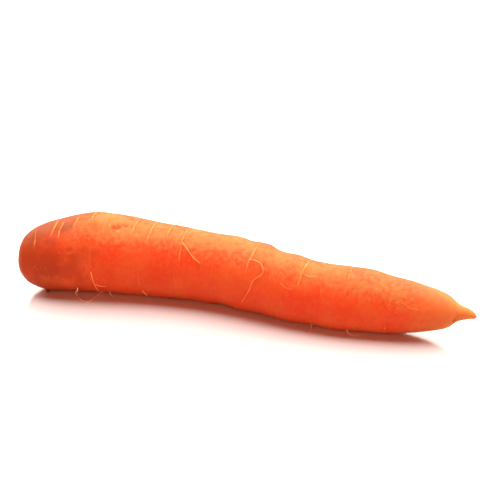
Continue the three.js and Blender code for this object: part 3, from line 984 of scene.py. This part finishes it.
def thread(name, thick, thin, points):
    """A thread through points in metres, as a mesh. thick and thin are its radii in mm."""
    data = bpy.data.curves.new(name, "CURVE")
    data.dimensions = "3D"
    data.bevel_depth = thick * MM
    data.bevel_resolution = 3
    data.resolution_u = 10
    data.use_fill_caps = True
    spline = data.splines.new("BEZIER")
    spline.bezier_points.add(len(points) - 1)
    for i, (knot, point) in enumerate(zip(spline.bezier_points, points)):
        knot.co = point
        knot.handle_left_type = knot.handle_right_type = "AUTO"
        knot.radius = 1 + (thin / thick - 1) * i / (len(points) - 1)
    piece = bpy.data.objects.new(name, data)
    bpy.context.scene.collection.objects.link(piece)
    pick(piece)
    bpy.ops.object.convert(target="MESH")
    return bpy.context.object


def joined(name, parts):
    """Joins mesh objects to one piece."""
    bpy.ops.object.select_all(action="DESELECT")
    for part in parts:
        part.select_set(True)
    bpy.context.view_layer.objects.active = parts[0]
    if len(parts) > 1:
        bpy.ops.object.join()
    piece = bpy.context.object
    piece.name = name
    bpy.ops.object.transform_apply(location=True, rotation=True, scale=True)
    bpy.ops.object.shade_smooth()
    return piece


def over_swells(at, around, over):
    """A point over the skin that counts the swells and dents too."""
    for place, angle, rise, reach, spread in SWELLS:
        across = float(turn_between(angle, around)) / spread
        over += rise * math.exp(-((at - place) / reach) ** 2 - across**2)
    return skin_place(at, around, over)


def threads_on_skin(rows):
    made = []
    for thick, thin, points in rows:
        made.append(thread("thread", thick, thin, [over_swells(*point) for point in points]))
    return made


rootlets = joined("rootlets", threads_on_skin(ROOTLETS))
fine_hairs = joined("fine_hairs", threads_on_skin(FINE_HAIRS))
print("rootlet faces:", len(rootlets.data.polygons), "hair faces:", len(fine_hairs.data.polygons))

# %% [markdown]
# Some rootlets reach past the belly and lie on the surface, or hang free at the tip. They
# start with two points on the skin. The rest of their points are given by their distance
# from the crown and by the frame's own side and height, all in millimetres.

# %% Draw the threads that lie on the surface
FLOOR_THREADS = (
    (0.26, 0.17, ((26.0, 222, -0.5), (26.2, 224, 0.4)), (
        (24.2, -10.6, 2.2), (24.5, -9.4, 0.6), (25.3, -10.4, 0.3), (27.4, -12.6, 0.3), (29.2, -13.7, 0.3),
        (30.6, -14.0, 0.3), (31.5, -12.8, 0.3), (32.1, -10.6, 0.3), (32.5, -7.9, 0.3), (33.0, -5.7, 0.5),
        (34.1, -4.7, 1.0), (35.3, -4.4, 1.5),
    )),
    (0.16, 0.1, ((39.2, 230, -0.4), (39.2, 232, 0.5)), ((39.9, -8.2, 1.6), (40.3, -7.0, 0.7))),
    (0.16, 0.1, ((128.8, 240, -0.5), (128.9, 243, 0.6)), ((129.1, -16.9, 0.9), (128.6, -20.3, 0.3))),
    (0.14, 0.1, ((144.5, 225, -0.5), (144.6, 229, 0.5)), (
        (145.6, -16.3, 1.2), (147.3, -15.0, 0.35), (149.9, -13.1, 0.3),
    )),
    (0.07, 0.05, ((190.6, 211, -0.4), (190.9, 211, 0.5)), ((192.7, -5.9, 6.5), (195.3, -5.9, 5.0))),
)


def floor_place(at, side, height):
    return Vector((CROWN_X + at, side, height)) * MM


made = []
for thick, thin, on_skin, on_floor in FLOOR_THREADS:
    points = [over_swells(*p) for p in on_skin] + [floor_place(*p) for p in on_floor]
    made.append(thread("thread", thick, thin, points))
floor_threads = joined("loose_rootlets", made)
print("lowest thread, mm:", round(float(vertex_places(floor_threads)[:, 2].min()), 2))

# %% [markdown]
# One side root near the crown broke off short and dried to a dark, blunt stump. It is the
# same kind of tapered thread, only thick and brown.

# %% Draw the dried stump
STUMP = (1.25, 0.8, ((11.4, 235, -1.2), (11.5, 239, 0), (11.6, 241.5, 0.7)))
stump = joined("dried_stump", threads_on_skin([STUMP]))
apply_modifier(stump, "SUBSURF", levels=1, render_levels=1)
bpy.ops.object.shade_smooth()
print("stump faces:", len(stump.data.polygons))

# %% [markdown]
# Fresh rootlets are yellow to orange and let a little light through. Those on the surface
# have dried paler, and the stump is a dark red-brown. One recipe with two colours serves all
# three. Its fine grain is drawn out along X, like fibres.

# %% Give the threads their finish
THREAD_YELLOW = (0.72, 0.26, 0.065)
THREAD_ORANGE = (0.68, 0.17, 0.038)
THREAD_PALE = (0.78, 0.60, 0.45)
THREAD_TAN = (0.72, 0.42, 0.24)
STUMP_BROWN = (0.05, 0.012, 0.008)
STUMP_RED = (0.12, 0.018, 0.008)


def thread_material(name, light, deep):
    n = Nodes(name, light)
    tone = n.grain(3.5, detail=2, seed=11)
    colour = n.mix(n.ramp(tone, 0.35, 0.65), light, deep)
    fibre = n.grain(0.25, detail=2, stretch=(4, 1, 1), seed=12)
    colour = n.mix(n.ramp(fibre, 0.5, 0.8, 0, 0.4), colour, light)
    return n.finish(
        colour,
        n.ramp(fibre, 0.3, 0.7, 0.5, 0.65),
        n.bump(fibre, 0.03),
        Specular_IOR_Level=0.3,
        Subsurface_Weight=0.2,
        Subsurface_Radius=(1.0, 0.4, 0.15),
        Subsurface_Scale=0.5 * MM,
    )


fresh_thread = thread_material("rootlet_skin", THREAD_YELLOW, THREAD_ORANGE)
pale_thread = thread_material("pale_rootlet_skin", THREAD_PALE, THREAD_TAN)
dried_thread = thread_material("dried_rootlet_skin", STUMP_RED, STUMP_BROWN)
for piece, thread_finish in (
    (rootlets, fresh_thread),
    (fine_hairs, fresh_thread),
    (floor_threads, pale_thread),
    (stump, dried_thread),
):
    piece.data.materials.clear()
    piece.data.materials.append(thread_finish)
    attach(piece, "root")
    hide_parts("taproot")
print("threads finished")

# %% [markdown]
# ## Leaf stalks in the crown
#
# The leaves were trimmed close to the crown, so only short stubs of their stalks are left in
# its hollow, in two rings round the growing point. A stub is a flattened rod whose cut end is
# sunk a little, as it dries from the middle. One function models it, and is called once for
# each place of the rings, because no two stubs were cut at the same height.

# %% Model one leaf stalk
STALK_SIDES = 20
STALK_RINGS = (
    {"count": 6, "reach": 3.5, "width": 2.6, "depth": 1.5, "cut": -0.3},
    {"count": 4, "reach": 1.5, "width": 1.9, "depth": 1.2, "cut": -0.6},
)
STALK_FOOT = 1.6
STALK_STEPS = 3
CUT_RIM = 0.12
CUT_SLOPE = 0.18
CUT_SINKS = 0.22
CUT_UNEVEN = 0.3


def stalk(width, depth, cut):
    """A stub from its foot at x = STALK_FOOT to its cut end at x = cut, lying along X, in mm."""
    bpy.ops.object.select_all(action="DESELECT")
    bpy.ops.mesh.primitive_circle_add(
        vertices=STALK_SIDES, radius=1, fill_type="NGON", rotation=(0, -math.pi / 2, 0)
    )
    bpy.ops.object.transform_apply(location=True, rotation=True, scale=True)
    piece = bpy.context.object
    bpy.ops.object.mode_set(mode="EDIT")
    bpy.ops.mesh.select_all(action="SELECT")
    half = (1, depth / 2 * MM, width / 2 * MM)
    bpy.ops.transform.resize(value=half, center_override=(0, 0, 0))
    bpy.ops.transform.translate(value=(STALK_FOOT * MM, 0, 0))
    rise = (cut - STALK_FOOT) / STALK_STEPS * MM
    for _ in range(STALK_STEPS):
        bpy.ops.mesh.extrude_region_move(TRANSFORM_OT_translate={"value": (rise, 0, 0)})
    bpy.ops.mesh.inset(thickness=CUT_RIM * MM, depth=0)
    bpy.ops.mesh.inset(thickness=CUT_SLOPE * MM, depth=-CUT_SINKS * MM)
    face_outwards()
    return piece


stubs = []
crown_side = float(middle_side(0))
crown_height = float(middle_height(0))
for level, ring in enumerate(STALK_RINGS):
    for i in range(ring["count"]):
        turn = 2 * math.pi * (i + 0.5 * level) / ring["count"]
        cut = ring["cut"] - CUT_UNEVEN * math.sin(5 * i + level)
        stub = stalk(ring["width"], ring["depth"], cut)
        stub.rotation_euler = (turn, 0, 0)
        offset = Vector((0, math.cos(turn), math.sin(turn))) * ring["reach"]
        stub.location = (Vector((CROWN_X, crown_side, crown_height)) + offset) * MM
        stubs.append(stub)
print("stubs:", len(stubs))

# %% [markdown]
# The stubs grow from a low cushion, the heart of the crown. It is a disc that is extruded
# once and then inset twice, each time a little higher, so its top is domed. Everything is
# joined to one piece and rounded. The sides get their ribs from their material, as a bump
# from a noise that is stretched lengthways.

# %% Grow the stubs from a cushion
CUSHION_SIDES = 24
CUSHION_RADIUS = 4.3
CUSHION_FOOT = 2.05
CUSHION_HEIGHT = 0.6
CUSHION_STEPS = ((0.9, 0.25), (1.4, 0.12))
bpy.ops.object.select_all(action="DESELECT")
bpy.ops.mesh.primitive_circle_add(
    vertices=CUSHION_SIDES,
    radius=CUSHION_RADIUS * MM,
    fill_type="NGON",
    location=Vector((CROWN_X + CUSHION_FOOT, crown_side, crown_height)) * MM,
    rotation=(0, -math.pi / 2, 0),
)
cushion = bpy.context.object
bpy.ops.object.transform_apply(location=True, rotation=True, scale=True)
bpy.ops.object.mode_set(mode="EDIT")
bpy.ops.mesh.select_all(action="SELECT")
bpy.ops.mesh.extrude_region_move(TRANSFORM_OT_translate={"value": (-CUSHION_HEIGHT * MM, 0, 0)})
for inward, higher in CUSHION_STEPS:
    bpy.ops.mesh.inset(thickness=inward * MM, depth=higher * MM)
face_outwards()
leaf_stubs = joined("leaf_stalks", [cushion] + stubs)
apply_modifier(leaf_stubs, "SUBSURF", levels=2, render_levels=2)
bpy.ops.object.shade_smooth()
print("leaf stalk faces:", len(leaf_stubs.data.polygons))

# %% [markdown]
# Cut stalks dry to an olive straw colour with dark stains. The noise that gives the ribs
# also gives the fibres their colour, and a coarser noise stains them.

# %% Give the leaf stalks their finish
STALK_OLIVE = (0.20, 0.16, 0.05)
STALK_STRAW = (0.46, 0.32, 0.12)
STALK_DARK = (0.07, 0.045, 0.02)


def stalk_material():
    n = Nodes("dry_stalk", STALK_OLIVE)
    fibre = n.grain(0.4, detail=3, stretch=(6, 1, 1), seed=21)
    colour = n.mix(n.ramp(fibre, 0.35, 0.7), STALK_OLIVE, STALK_STRAW)
    stain = n.grain(1.8, detail=3, seed=22)
    colour = n.mix(n.ramp(stain, 0.5, 0.75, 0, 0.8), colour, STALK_DARK)
    return n.finish(
        colour,
        n.ramp(fibre, 0.3, 0.7, 0.7, 0.88),
        n.bump(fibre, 0.15),
        Specular_IOR_Level=0.25,
    )


leaf_stubs.data.materials.clear()
leaf_stubs.data.materials.append(stalk_material())
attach(leaf_stubs, "root")
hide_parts("leaf_stalk_stubs")
print("leaf stalks finished")

# %% [markdown]
# ## Check the size and finish
#
# The dressed model must keep the size of the CAD model. Its box is measured here, and how
# far each side grew past the CAD box is printed in millimetres.

# %% Measure the dressed model against the CAD box
visual_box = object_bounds()
grown = [(v - c) / MM for a, b in zip(visual_box, cad_box) for v, c in zip(a, b)]
print("grown by, mm:", [round(change, 2) for change in grown])
